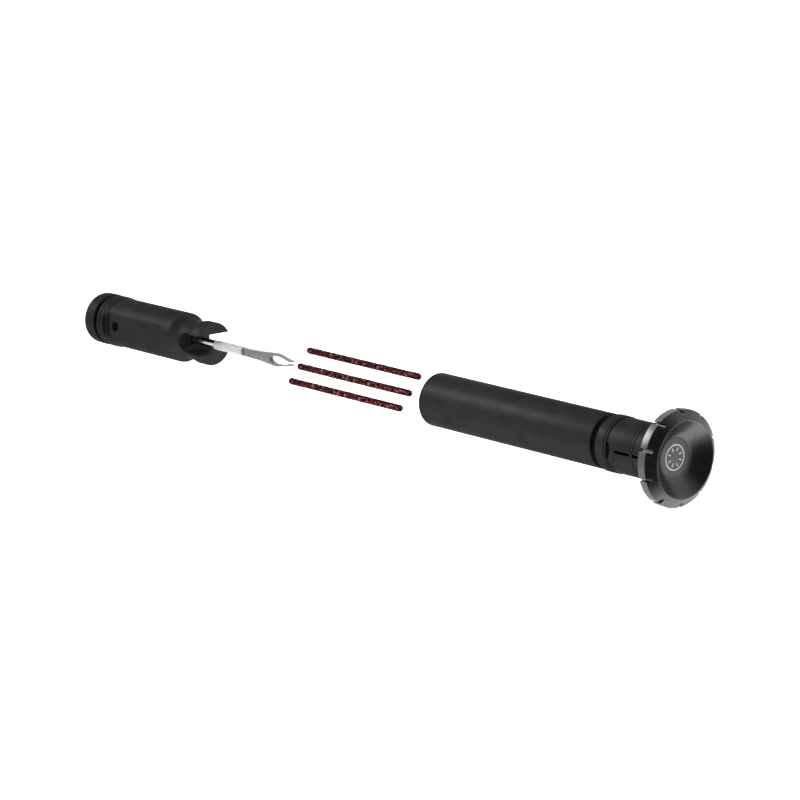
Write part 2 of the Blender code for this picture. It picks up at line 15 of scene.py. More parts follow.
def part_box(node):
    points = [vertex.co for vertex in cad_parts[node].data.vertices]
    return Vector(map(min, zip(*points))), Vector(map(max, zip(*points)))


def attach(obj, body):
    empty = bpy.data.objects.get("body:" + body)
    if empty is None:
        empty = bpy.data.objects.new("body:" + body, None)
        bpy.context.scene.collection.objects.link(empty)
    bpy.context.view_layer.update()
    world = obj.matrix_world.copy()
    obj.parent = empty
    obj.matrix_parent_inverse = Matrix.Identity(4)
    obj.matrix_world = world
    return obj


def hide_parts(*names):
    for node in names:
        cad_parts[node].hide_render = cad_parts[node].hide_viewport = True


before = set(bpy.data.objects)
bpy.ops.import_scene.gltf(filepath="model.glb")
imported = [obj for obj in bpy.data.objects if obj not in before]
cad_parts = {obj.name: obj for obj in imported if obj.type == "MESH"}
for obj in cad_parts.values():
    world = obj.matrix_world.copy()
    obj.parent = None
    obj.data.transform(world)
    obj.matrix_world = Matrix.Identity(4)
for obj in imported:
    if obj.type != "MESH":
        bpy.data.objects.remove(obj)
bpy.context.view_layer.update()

MM = 0.001
TURN_STEPS = 144

# The frame's own places and sizes
tube_low, tube_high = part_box("storage_tube")
crown_low, crown_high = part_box("crown")
cap_low, cap_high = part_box("end_cap")
MOUTH_X = tube_low[0]
AXIS_Z = (tube_low[2] + tube_high[2]) / 2
TO_WORLD = Matrix.Translation((MOUTH_X, 0, AXIS_Z)) @ Matrix.Rotation(pi / 2, 4, "Y")
TUBE_RADIUS = (tube_high[2] - tube_low[2]) / 2
TUBE_END = tube_high[0] - MOUTH_X
CROWN_FACE = crown_high[0] - MOUTH_X
CROWN_RADIUS = (crown_high[1] - crown_low[1]) / 2
HANDLE_END = cap_low[0] - MOUTH_X
CAP_RADIUS = (cap_high[2] - cap_low[2]) / 2


# Mesh tools ------------------------------------------------------------------------------


def filleted(outline, steps=3, closed=False):
    """Rounds an outline's corners. A point is (station, radius) or (station, radius, corner)."""
    count = len(outline)
    result = []
    for index, point in enumerate(outline):
        here = Vector(point[:2])
        corner = point[2] if len(point) > 2 else 0.0
        inside = closed or 0 < index < count - 1
        if not corner or not inside:
            result.append(here)
            continue
        before = Vector(outline[index - 1][:2]) - here
        after = Vector(outline[(index + 1) % count][:2]) - here
        reach = min(corner, before.length * 0.48, after.length * 0.48)
        start = here + before.normalized() * reach
        end = here + after.normalized() * reach
        for step in range(steps + 1):
            t = step / steps
            result.append(start * (1 - t) ** 2 + here * 2 * t * (1 - t) + end * t**2)
    return result


def turned(outline, closed=False, steps=TURN_STEPS):
    """A mesh turned about local Z from an outline that runs down its outer side."""
    builder = bmesh.new()
    points = [Vector(point) for point in outline]
    rings = []
    for station, radius in points:
        if radius < 1e-7:
            rings.append([builder.verts.new((0, 0, station))])
            continue
        angles = (2 * pi * step / steps for step in range(steps))
        rings.append([builder.verts.new((radius * cos(a), radius * sin(a), station)) for a in angles])
    pairs = list(zip(rings, rings[1:]))
    if closed:
        pairs.append((rings[-1], rings[0]))
    for upper, lower in pairs:
        for step in range(steps):
            after = (step + 1) % steps
            if len(upper) == 1 and len(lower) == 1:
                break
            if len(upper) == 1:
                corners = (upper[0], lower[step], lower[after])
            elif len(lower) == 1:
                corners = (upper[step], lower[0], upper[after])
            else:
                corners = (upper[step], lower[step], lower[after], upper[after])
            builder.faces.new(corners)
    return builder


def block(size, centre):
    builder = bmesh.new()
    bmesh.ops.create_cube(builder, size=1.0, matrix=Matrix.Diagonal((*size, 1.0)))
    bmesh.ops.translate(builder, verts=builder.verts, vec=centre)
    return builder


def rod(radii, length, centre, turn=Matrix(), segments=64):
    builder = bmesh.new()
    scale = Matrix.Diagonal((*radii, length, 1.0))
    bmesh.ops.create_cone(
        builder, cap_ends=True, segments=segments, radius1=1, radius2=1, depth=1, matrix=turn @ scale
    )
    bmesh.ops.translate(builder, verts=builder.verts, vec=centre)
    return builder


def prism(outline, thickness, turn=Matrix()):
    """A flat outline in local X and Y, given a thickness along Z and then swung by turn."""
    builder = bmesh.new()
    base = [builder.verts.new((x, y, -thickness / 2)) for x, y in outline]
    face = builder.faces.new(base)
    sides = bmesh.ops.extrude_face_region(builder, geom=[face])["geom"]
    moved = [item for item in sides if isinstance(item, bmesh.types.BMVert)]
    bmesh.ops.translate(builder, verts=moved, vec=(0, 0, thickness))
    bmesh.ops.recalc_face_normals(builder, faces=builder.faces)
    bmesh.ops.transform(builder, matrix=turn, verts=builder.verts)
    return builder


UPRIGHT = Matrix.Rotation(pi / 2, 4, "X")
SWAP_X_AND_Z = Matrix(((0, 0, 1, 0), (0, 1, 0, 0), (1, 0, 0, 0), (0, 0, 0, 1)))


def side_prism(outline, side, width):
    """A cutter across the tool, from an outline in (station, distance to the side along Y)."""
    builder = prism([(station, side * away) for station, away in outline], width)
    bmesh.ops.transform(builder, matrix=SWAP_X_AND_Z, verts=builder.verts)
    bmesh.ops.recalc_face_normals(builder, faces=builder.faces)
    return builder


def arc_points(centre, radius, start, end, steps):
    angles = [start + (end - start) * step / steps for step in range(steps + 1)]
    return [(centre[0] + radius * cos(a), centre[1] + radius * sin(a)) for a in angles]


def make_object(name, builder, smooth=28):
    mesh = bpy.data.meshes.new(name)
    builder.to_mesh(mesh)
    builder.free()
    mesh.shade_smooth()
    mesh.set_sharp_from_angle(angle=radians(smooth))
    item = bpy.data.objects.new(name, mesh)
    item.matrix_world = TO_WORLD
    bpy.context.scene.collection.objects.link(item)
    return item


def settle(item, smooth=28):
    """Applies an object's modifiers to its mesh."""
    bpy.context.view_layer.update()
    graph = bpy.context.evaluated_depsgraph_get()
    mesh = bpy.data.meshes.new_from_object(item.evaluated_get(graph))
    item.modifiers.clear()
    item.data = mesh
    mesh.shade_smooth()
    mesh.set_sharp_from_angle(angle=radians(smooth))


def combine(item, cutters, operation="DIFFERENCE"):
    """Cuts an object with meshes, or joins them to it; each cutter is (builder, turn)."""
    tools = []
    for index, (builder, turn) in enumerate(cutters):
        tool = make_object(f"{item.name}_cutter_{index}", builder)
        tool.matrix_world = TO_WORLD @ Matrix.Rotation(turn, 4, "Z")
        tools.append(tool)
        boolean = item.modifiers.new(tool.name, "BOOLEAN")
        boolean.operation = operation
        boolean.solver = "EXACT"
        boolean.object = tool
    settle(item)
    for tool in tools:
        bpy.data.objects.remove(tool, do_unlink=True)


def finish_piece(item, body, material, slot, *nodes):
    """Gives a piece its material and its body, and lets it stand for its CAD nodes."""
    item.data.materials.clear()
    item.data.materials.append(material)
    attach(item, body)
    if nodes:
        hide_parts(*nodes)


def torus_outline(station, ring_radius, section_radius, steps=24):
    angles = (pi / 2 - 2 * pi * step / steps for step in range(steps))
    return [(station + section_radius * sin(a), ring_radius + section_radius * cos(a)) for a in angles]


def smooth_line(points, steps=6):
    """A Catmull-Rom curve through points, as a list of vectors."""
    line = [Vector(point) for point in points]
    padded = [line[0] * 2 - line[1], *line, line[-1] * 2 - line[-2]]
    result = []
    for p0, p1, p2, p3 in zip(padded, padded[1:], padded[2:], padded[3:]):
        for step in range(steps):
            t = step / steps
            result.append(
                0.5
                * (
                    2 * p1
                    + (p2 - p0) * t
                    + (2 * p0 - 5 * p1 + 4 * p2 - p3) * t**2
                    + (3 * p1 - p0 - 3 * p2 + p3) * t**3
                )
            )
    return result + [line[-1]]


# Materials -------------------------------------------------------------------------------


class Shader:
    """A Principled material with short calls for its texture nodes."""

    def __init__(self, name, colour, roughness, metallic=0.0, **sockets):
        self.material = bpy.data.materials.new(name)
        self.material.use_nodes = True
        self.tree = self.material.node_tree
        self.shader = self.tree.nodes["Principled BSDF"]
        self.shader.inputs["Base Color"].default_value = (*colour, 1.0)
        self.shader.inputs["Roughness"].default_value = roughness
        self.shader.inputs["Metallic"].default_value = metallic
        for label, value in sockets.items():
            self.shader.inputs[label.replace("_", " ")].default_value = value
        self.position = self.node("ShaderNodeTexCoord").outputs["Object"]

    def node(self, kind, **settings):
        node = self.tree.nodes.new(kind)
        for label, value in settings.items():
            setattr(node, label, value)
        return node

    def link(self, source, target):
        self.tree.links.new(source, target)

    def stretched(self, scale):
        mapping = self.node("ShaderNodeMapping")
        mapping.inputs["Scale"].default_value = scale
        self.link(self.position, mapping.inputs["Vector"])
        return mapping.outputs["Vector"]

    def turned_position(self, scale):
        """Coordinates of distance from the axis and station, for rings left by turning."""
        split = self.node("ShaderNodeSeparateXYZ")
        self.link(self.position, split.inputs[0])
        squares = []
        for label in ("X", "Y"):
            square = self.node("ShaderNodeMath", operation="MULTIPLY")
            self.link(split.outputs[label], square.inputs[0])
            self.link(split.outputs[label], square.inputs[1])
            squares.append(square)
        total = self.node("ShaderNodeMath", operation="ADD")
        self.link(squares[0].outputs[0], total.inputs[0])
        self.link(squares[1].outputs[0], total.inputs[1])
        root = self.node("ShaderNodeMath", operation="SQRT")
        self.link(total.outputs[0], root.inputs[0])
        joined = self.node("ShaderNodeCombineXYZ")
        self.link(root.outputs[0], joined.inputs["X"])
        self.link(split.outputs["Z"], joined.inputs["Y"])
        scaled = self.node("ShaderNodeVectorMath", operation="SCALE")
        scaled.inputs["Scale"].default_value = scale
        self.link(joined.outputs[0], scaled.inputs[0])
        return scaled.outputs["Vector"]

    def noise(self, vector, scale, detail=3.0, rough=0.55):
        texture = self.node("ShaderNodeTexNoise")
        texture.inputs["Scale"].default_value = scale
        texture.inputs["Detail"].default_value = detail
        texture.inputs["Roughness"].default_value = rough
        self.link(vector, texture.inputs["Vector"])
        return texture.outputs["Fac"]

    def ramp(self, value, *stops):
        """Maps a value to colours or greys; each stop is (position, colour or grey)."""
        node = self.node("ShaderNodeValToRGB")
        while len(node.color_ramp.elements) < len(stops):
            node.color_ramp.elements.new(0.5)
        for element, (place, colour) in zip(node.color_ramp.elements, stops):
            element.position = place
            grey = (colour, colour, colour) if isinstance(colour, float) else colour
            element.color = (*grey, 1.0)
        self.link(value, node.inputs["Fac"])
        return node.outputs["Color"]

    def mix(self, share, first, second, blend="MIX"):
        node = self.node("ShaderNodeMix", data_type="RGBA", blend_type=blend)
        if isinstance(share, float):
            node.inputs["Factor"].default_value = share
        else:
            self.link(share, node.inputs["Factor"])
        self.link(first, node.inputs["A"])
        self.link(second, node.inputs["B"])
        return node.outputs["Result"]

    def colour(self, value):
        self.link(value, self.shader.inputs["Base Color"])

    def roughness(self, value):
        self.link(value, self.shader.inputs["Roughness"])

    def bump(self, *layers):
        """Adds height layers; each is (value, distance in metres)."""
        normal = None
        for value, distance in layers:
            node = self.node("ShaderNodeBump")
            node.inputs["Strength"].default_value = 1.0
            node.inputs["Distance"].default_value = distance
            self.link(value, node.inputs["Height"])
            if normal:
                self.link(normal, node.inputs["Normal"])
            normal = node.outputs["Normal"]
        self.link(normal, self.shader.inputs["Normal"])


def anodised_material(name, base, rough, metallic, edge):
    """Black anodised aluminium: fine turning rings, blasted grain and slightly uneven dye."""
    dark = tuple(channel * 0.86 for channel in base)
    light = tuple(channel * 1.14 for channel in base)
    sheen = (edge, edge, edge, 1.0)
    shader = Shader(name, base, rough, metallic, Specular_Tint=sheen, Specular_IOR_Level=0.0)
    rings = shader.noise(shader.turned_position(1.0), 9000.0, detail=2.0)
    grain = shader.noise(shader.position, 6000.0, detail=4.0, rough=0.7)
    cloud = shader.noise(shader.position, 140.0, detail=3.0)
    shader.colour(shader.ramp(cloud, (0.3, dark), (0.7, light)))
    shader.roughness(shader.ramp(grain, (0.25, rough - 0.06), (0.75, rough + 0.06)))
    shader.bump((rings, 0.004 * MM), (grain, 0.003 * MM))
    return shader.material


def steel_material(name, base, rough, line_scale):
    """Ground steel: fine lines, slight stains and a soft satin gloss."""
    dark = tuple(channel * 0.85 for channel in base)
    shader = Shader(name, base, rough, metallic=1.0)
    lines = shader.noise(shader.stretched(line_scale), 1.0, detail=3.0)
    cloud = shader.noise(shader.position, 260.0, detail=3.0)
    shader.colour(shader.ramp(cloud, (0.3, dark), (0.65, base)))
    shader.roughness(shader.ramp(lines, (0.3, rough - 0.07), (0.7, rough + 0.08)))
    shader.bump((lines, 0.004 * MM))
    return shader.material


def rasp_material():
    """Bonded grit: pale crystals in a grey ground."""
    shader = Shader("rasp_grit", (0.5, 0.5, 0.48), 0.55, metallic=0.35)
    grit = shader.noise(shader.position, 5200.0, detail=5.0, rough=0.75)
    patches = shader.noise(shader.position, 900.0, detail=3.0)
    grain_tones = (
        (0.3, (0.22, 0.22, 0.21)),
        (0.5, (0.53, 0.53, 0.505)),
        (0.7, (0.82, 0.82, 0.79)),
    )
    grains = shader.ramp(grit, *grain_tones)
    tint = shader.ramp(patches, (0.3, 0.78), (0.7, 1.0))
    shader.colour(shader.mix(1.0, grains, tint, "MULTIPLY"))
    shader.roughness(shader.ramp(grit, (0.3, 0.7), (0.7, 0.4)))
    shader.bump((grit, 0.05 * MM))
    return shader.material


def rubber_material():
    """Moulded black rubber with a dusty, slightly uneven surface."""
    shader = Shader("black_rubber", (0.003, 0.003, 0.003), 0.6, Specular_IOR_Level=0.02)
    grain = shader.noise(shader.position, 5200.0, detail=4.0)
    dust = shader.noise(shader.position, 380.0, detail=3.0)
    shader.colour(shader.ramp(dust, (0.35, (0.002, 0.002, 0.002)), (0.75, (0.005, 0.005, 0.005))))
    shader.roughness(shader.ramp(grain, (0.3, 0.48), (0.7, 0.68)))
    shader.bump((grain, 0.01 * MM))
    return shader.material


def cord_material():
    """Rubbered cord: maroon strands with painted shade in the creases between them and a painted
    highlight on their crests, both following the strand bumps, flecked by fibres.
    """
    shader = Shader("maroon_plug_cord", (0.05, 0.008, 0.012), 0.8, Specular_IOR_Level=0.05)
    strands = shader.noise(shader.stretched((1500, 1500, 800)), 1.0, detail=4.0, rough=0.6)
    fibres = shader.noise(shader.stretched((5200, 5200, 1900)), 1.0, detail=3.0)
    # The strand noise also drives the bump: its low values are painted shade in the creases, its high
    # values a pale pinkish painted highlight on the crests.
    strand_shade_and_highlight_tones = (
        (0.4, (0.006, 0.001, 0.001)),
        (0.49, (0.032, 0.002, 0.005)),
        (0.57, (0.11, 0.02, 0.026)),
        (0.66, (0.34, 0.16, 0.17)),
    )
    tone = shader.ramp(strands, *strand_shade_and_highlight_tones)
    fleck = shader.ramp(fibres, (0.35, 0.65), (0.65, 1.0))
    shader.colour(shader.mix(1.0, tone, fleck, "MULTIPLY"))
    shader.roughness(shader.ramp(fibres, (0.3, 0.65), (0.7, 0.9)))
    shader.bump((strands, 0.12 * MM), (fibres, 0.03 * MM))
    return shader.material


def floor_material():
    """A pale floor that glows a little, so that it stays even and nearly white."""
    shader = Shader("pale_floor", (0.9, 0.9, 0.9), 0.9)
    shader.shader.inputs["Emission Color"].default_value = (1.0, 1.0, 1.0, 1.0)
    shader.shader.inputs["Emission Strength"].default_value = 0.8
    return shader.material


# Anodised finishes: name, base colour, roughness, metallic share and edge reflection
ANODISED = anodised_material("black_anodised", (0.0265, 0.0265, 0.0268), 0.4, 0.6, 0.46)
HANDLE_FINISH = anodised_material("black_anodised_handle", (0.0255, 0.0255, 0.0258), 0.44, 0.6, 0.46)
CROWN_FINISH = anodised_material("black_anodised_crown", (0.1, 0.1, 0.101), 0.27, 0.94, 0.8)
BADGE_FINISH = anodised_material("badge_black", (0.105, 0.105, 0.107), 0.36, 0.9, 0.4)
BARE_METAL = steel_material("badge_mark_metal", (0.52, 0.52, 0.52), 0.35, (900, 900, 900))
POLISHED = steel_material("polished_steel", (0.6, 0.59, 0.57), 0.16, (9000, 9000, 500))
BLADE_STEEL = steel_material("ground_steel", (0.2, 0.2, 0.195), 0.36, (600, 600, 9000))
TURNED_STEEL = steel_material("turned_steel", (0.45, 0.45, 0.44), 0.32, (500, 500, 12000))
RASP = rasp_material()
RUBBER = rubber_material()
CORD = cord_material()


# Inserting tool --------------------------------------------------------------------------

HEAD_FACE = -107.0 * MM
HEAD_RADIUS = 6.93 * MM
SLOT_HALF_WIDTH = 3.2 * MM
SLOT_BOTTOM = -117.1 * MM
SHOULDER = -120.85 * MM
FLAT_DISTANCE = 6.83 * MM
FLAT_SPAN = (-155.1 * MM, -124.4 * MM)
FLAT_CORNER = 1.9 * MM
FLAT_STEP = (1.25 * MM, 0.55 * MM)
CROSS_HOLE_STATION = -150.25 * MM
CROSS_HOLE_RADIUS = 1.7 * MM
FLANGE_RADIUS = 8.3 * MM
BODY_END = -157.0 * MM
STUD_RADIUS = 2.8 * MM
STUD_HOLE_RADIUS = 3.1 * MM
CAP_FACE = -160.15 * MM
SHANK_RADIUS = 1.35 * MM
RASP_RADIUS = 1.5 * MM
RASP_SPAN = (-105.6 * MM, -91.7 * MM)
RASP_RISE = 0.07 * MM
BLADE_THICKNESS = 1.45 * MM


def slot_cutter():
    """The head's through slot, round at its bottom, seen along local Y."""
    middle = SLOT_BOTTOM + SLOT_HALF_WIDTH
    outline = arc_points((0, middle), SLOT_HALF_WIDTH, 0, -pi, 40)
    open_end = HEAD_FACE + 6 * MM
    outline += [(-SLOT_HALF_WIDTH, open_end), (SLOT_HALF_WIDTH, open_end)]
    return prism(outline, 4 * HEAD_RADIUS, UPRIGHT)


def flat_cutter(side):
    """A side cutter's path: flat along the handle, round at its front and stepped at its rear."""
    start, end = FLAT_SPAN
    depth = FLAT_DISTANCE + FLAT_CORNER
    step_length, step_rise = FLAT_STEP
    near = [
        (start, FLAT_DISTANCE + step_rise),
        (start + step_length, FLAT_DISTANCE + step_rise),
        (start + step_length, FLAT_DISTANCE),
    ]
    far = arc_points((end - FLAT_CORNER, depth), FLAT_CORNER, 1.5 * pi, 2 * pi, 10)
    outside = depth + 6 * MM
    outline = near + far + [(end, outside), (start, outside)]
    return side_prism(outline, side, 4 * TUBE_RADIUS)


def build_handle():
    """The turned bar, from the needle's hole round its outside to the end cap's hole."""
    needle_hole_end, needle_hole_radius = -134.5 * MM, 1.5 * MM
    stud_hole_end = -152.3 * MM
    groove_floor = FLANGE_RADIUS - 0.25 * MM
    outline = [
        (needle_hole_end, 0),
        (needle_hole_end, needle_hole_radius),
        (HEAD_FACE, needle_hole_radius),
        (HEAD_FACE, HEAD_RADIUS, 0.35 * MM),
        (-111.3 * MM, HEAD_RADIUS, 0.6 * MM),
        (-113.0 * MM, 6.45 * MM, 1.2 * MM),
        (-116.8 * MM, 6.15 * MM, 1.8 * MM),
        (-118.9 * MM, 6.6 * MM, 1.2 * MM),
        (-120.1 * MM, 7.45 * MM, 0.25 * MM),
        (SHOULDER, TUBE_RADIUS, 0.3 * MM),
        (-153.9 * MM, TUBE_RADIUS),
        (-154.05 * MM, FLANGE_RADIUS, 0.08 * MM),
        (-155.1 * MM, FLANGE_RADIUS, 0.05 * MM),
        (-155.2 * MM, groove_floor),
        (-155.35 * MM, groove_floor),
        (-155.45 * MM, FLANGE_RADIUS, 0.05 * MM),
        (-156.75 * MM, FLANGE_RADIUS, 0.15 * MM),
        (BODY_END, FLANGE_RADIUS - 0.3 * MM),
        (BODY_END, STUD_HOLE_RADIUS),
        (stud_hole_end, STUD_HOLE_RADIUS),
        (stud_hole_end, 0),
    ]
    item = make_object("handle", turned(filleted(outline)))
    hole_radii = (CROSS_HOLE_RADIUS, CROSS_HOLE_RADIUS)
    hole = rod(hole_radii, 4 * TUBE_RADIUS, (0, 0, CROSS_HOLE_STATION), UPRIGHT)
    cutters = [(slot_cutter(), 0), (flat_cutter(-1), 0), (flat_cutter(1), 0), (hole, 0)]
    combine(item, cutters)
    finish_piece(item, "inserting_tool", HANDLE_FINISH, "anodised", "handle_body")


def build_end_cap():
    """The cap with its stud and its shallow rear dimple, then the ring and the washer before it."""
    stud_end = -152.6 * MM
    recess = CAP_FACE - 0.25 * MM
    lip = 7.8 * MM
    dimple = HANDLE_END + 0.35 * MM
    outline = [
        (stud_end, 0),
        (stud_end, STUD_RADIUS, 0.4 * MM),
        (recess, STUD_RADIUS),
        (recess, lip),
        (CAP_FACE, lip, 0.08 * MM),
        (CAP_FACE, CAP_RADIUS, 0.3 * MM),
        (CAP_FACE - 1.6 * MM, CAP_RADIUS, 2.0 * MM),
        (HANDLE_END + 0.5 * MM, CAP_RADIUS - 0.1 * MM, 0.5 * MM),
        (HANDLE_END, CAP_RADIUS - 0.3 * MM, 0.2 * MM),
        (HANDLE_END, 5.2 * MM, 0.2 * MM),
        (dimple, 4.9 * MM, 0.2 * MM),
        (dimple, 0),
    ]
    item = make_object("end_cap_shell", turned(filleted(outline, 5)))
    finish_piece(item, "inserting_tool", HANDLE_FINISH, "anodised", "end_cap")

    ring_station, ring_radius, ring_section = -159.3 * MM, 6.55 * MM, 0.8 * MM
    ring_outline = torus_outline(ring_station, ring_radius, ring_section)
    ring = make_object("end_cap_seal", turned(ring_outline, True))
    finish_piece(ring, "inserting_tool", RUBBER, "rubber", "end_cap_o_ring")

    front, back = -157.15 * MM, -158.35 * MM
    edge = 0.12 * MM
    washer = [
        (front, FLANGE_RADIUS, edge),
        (back, FLANGE_RADIUS, edge),
        (back, STUD_HOLE_RADIUS),
        (front, STUD_HOLE_RADIUS),
    ]
    item = make_object("seal_washer", turned(filleted(washer, closed=True), True))
    finish_piece(item, "inserting_tool", HANDLE_FINISH, "anodised", "end_cap_washer")


def blade_outline():
    """The flat blade with its eye, open between two tines, in (down, station)."""
    outer = smooth_line(
        [
            (1.1 * MM, -95.0 * MM),
            (1.17 * MM, -92.0 * MM),
            (1.38 * MM, -84.5 * MM),
            (1.8 * MM, -78.6 * MM),
            (2.05 * MM, -75.6 * MM),
            (1.9 * MM, -73.6 * MM),
            (1.3 * MM, -70.8 * MM),
            (0.72 * MM, -67.6 * MM),
        ]
    )
    tip = arc_points((0.56 * MM, -67.3 * MM), 0.17 * MM, 0.35 * pi, pi, 6)
    inner = smooth_line(
        [
            (0.41 * MM, -68.2 * MM),
            (0.44 * MM, -69.4 * MM),
            (0.9 * MM, -70.9 * MM),
            (1.2 * MM, -72.8 * MM),
            (1.27 * MM, -74.6 * MM),
            (1.1 * MM, -76.4 * MM),
            (0.66 * MM, -77.6 * MM),
            (0.0, -78.05 * MM),
        ]
    )
    half = [tuple(point) for point in outer] + tip + [tuple(point) for point in inner]
    mirrored = [(-down, station) for down, station in reversed(half[:-1])]
    return half + mirrored


def build_needle():
    """The polished shank, the grit rasp over it and the flat blade that grows from a round root."""
    shank_front, shank_end = -105.4 * MM, -134.2 * MM
    shank = [
        (shank_front, 0),
        (shank_front, SHANK_RADIUS),
        (shank_end, SHANK_RADIUS),
        (shank_end, 0),
    ]
    item = make_object("needle_shank", turned(shank, steps=64))
    finish_piece(item, "inserting_tool", POLISHED, "steel", "fork_needle")

    rasp = make_object("needle_rasp", rasp_mesh())
    finish_piece(rasp, "inserting_tool", RASP, "steel")

    root_front, root_end = -88.0 * MM, -91.9 * MM
    root = [
        (root_front, 0),
        (root_front, 1.15 * MM),
        (root_end, 1.3 * MM),
        (root_end, 0),
    ]
    blade = make_object("needle_blade", turned(root, steps=64))
    combine(blade, [(root_cutter(side, BLADE_THICKNESS / 2), 0) for side in (-1, 1)])
    plate = prism(blade_outline(), BLADE_THICKNESS * 0.98, UPRIGHT)
    combine(blade, [(plate, 0)], "UNION")
    bevel = blade.modifiers.new("Edges", "BEVEL")
    bevel.width = 0.09 * MM
    bevel.segments = 2
    bevel.limit_method = "ANGLE"
    bevel.angle_limit = radians(50)
    settle(blade, 35)
    finish_piece(blade, "inserting_tool", BLADE_STEEL, "steel")


def root_cutter(side, distance):
    """Mills one face of the blade's root, with a round run-out towards the rasp."""
    corner = 2.2 * MM
    start, end = -95.0 * MM, -86.0 * MM
    near = arc_points((start + corner, distance + corner), corner, pi, 1.5 * pi, 10)
    outside = distance + 2 * corner
    outline = near + [(end, distance), (end, outside), (start, outside)]
    return side_prism(outline, side, 4 * RASP_RADIUS)


def rasp_mesh():
    """A rod whose surface is pitted and raised by bonded grit."""
    start, end = RASP_SPAN
    edge = 0.15 * MM
    rings = 280
    grit_length = end - start - 2 * edge
    outline = [(end, 0), (end, RASP_RADIUS - 0.25 * MM)]
    outline += [(end - edge - grit_length * ring / rings, RASP_RADIUS) for ring in range(rings + 1)]
    outline += [(start, RASP_RADIUS - 0.2 * MM), (start, 0)]
    builder = turned(outline, steps=128)
    for vert in builder.verts:
        if hypot(vert.co.x, vert.co.y) > RASP_RADIUS * 0.7:
            out = Vector((vert.co.x, vert.co.y, 0)).normalized()
            coarse = noise.noise(vert.co * 2600)
            fine = noise.noise(vert.co * 6500)
            vert.co += out * RASP_RISE * (0.6 * coarse + 0.7 * fine)
    return builder


# Plugs -----------------------------------------------------------------------------------


def plug_builder(radius, length, seed):
    """A twisted cord with bulging strands, fuzzy noise and rounded, pinched ends."""
    along, around = 520, 48
    strands = 3
    pitch = 5.0 * MM
    builder = bmesh.new()
    rings = []
    for step in range(along + 1):
        place = length * step / along
        to_end = min(place, length - place)
        cap = sqrt(max(0.0, 1 - (1 - min(1.0, to_end / (radius * 0.9))) ** 2))
        if cap < 1e-4:
            rings.append([builder.verts.new((0, 0, place))])
            continue
        ring = []
        for spoke in range(around):
            angle = 2 * pi * spoke / around
            twist = strands * (angle + 2 * pi * place / pitch)
            bulge = 0.035 * cos(twist) + 0.02 * cos(2 * (angle - 2 * pi * place / (0.6 * pitch)))
            spot = Vector((cos(angle) * 1.1, sin(angle) * 1.1, place / MM * 0.9 + seed))
            lump = 0.07 * noise.noise(spot * 1.6) + 0.05 * noise.noise(spot * 4.0)
            reach = radius * cap * (1.01 + bulge + lump)
            ring.append(builder.verts.new((reach * cos(angle), reach * sin(angle), place)))
        rings.append(ring)
    for lower, upper in zip(rings, rings[1:]):
        for spoke in range(around):
            after = (spoke + 1) % around
            if len(lower) == 1:
                corners = (lower[0], upper[after], upper[spoke])
            elif len(upper) == 1:
                corners = (lower[spoke], lower[after], upper[0])
            else:
                corners = (lower[spoke], lower[after], upper[after], upper[spoke])
            builder.faces.new(corners)
    bmesh.ops.recalc_face_normals(builder, faces=builder.faces)
    return builder


def build_plugs():
    """Each cord fills its CAD node's box; the seed gives each its own lumps."""
    for seed, name in enumerate(("plug_top", "plug_middle", "plug_bottom")):
        low, high = (Vector(corner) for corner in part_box(name))
        radius = (high.z - low.z) / 2
        item = make_object(name + "_cord", plug_builder(radius, high.x - low.x, 17.0 * seed), 60)
        middle = (low + high) / 2
        start = Matrix.Translation((low.x, middle.y, middle.z))
        item.matrix_world = start @ Matrix.Rotation(pi / 2, 4, "Y")
        finish_piece(item, name, CORD, "plug_cord", name)


# Storage case ----------------------------------------------------------------------------


def build_tube():
    """The open tube, its mouth flared for the handle's shoulder, and the ring in its groove."""
    bore = 7.2 * MM
    flare_radius, flare_depth = 7.68 * MM, 0.8 * MM
    groove_radius = 7.65 * MM
    groove_start, groove_end = 3.45 * MM, 4.95 * MM
    outline = [
        (TUBE_END, TUBE_RADIUS, 0.25 * MM),
        (0, TUBE_RADIUS, 0.1 * MM),
        (0, flare_radius, 0.08 * MM),
        (flare_depth, bore, 0.2 * MM),
        (groove_start, bore),
        (groove_start, groove_radius),
        (groove_end, groove_radius),
        (groove_end, bore),
        (TUBE_END, bore),
    ]
    item = make_object("tube_shell", turned(filleted(outline, closed=True), True))
    finish_piece(item, "case", ANODISED, "anodised", "storage_tube")
    ring_radius, ring_section = 6.95 * MM, 0.5 * MM
    ring_outline = torus_outline((groove_start + groove_end) / 2, ring_radius, ring_section)
    ring = make_object("mouth_seal", turned(ring_outline, True))
    finish_piece(ring, "case", RUBBER, "rubber", "mouth_o_ring")


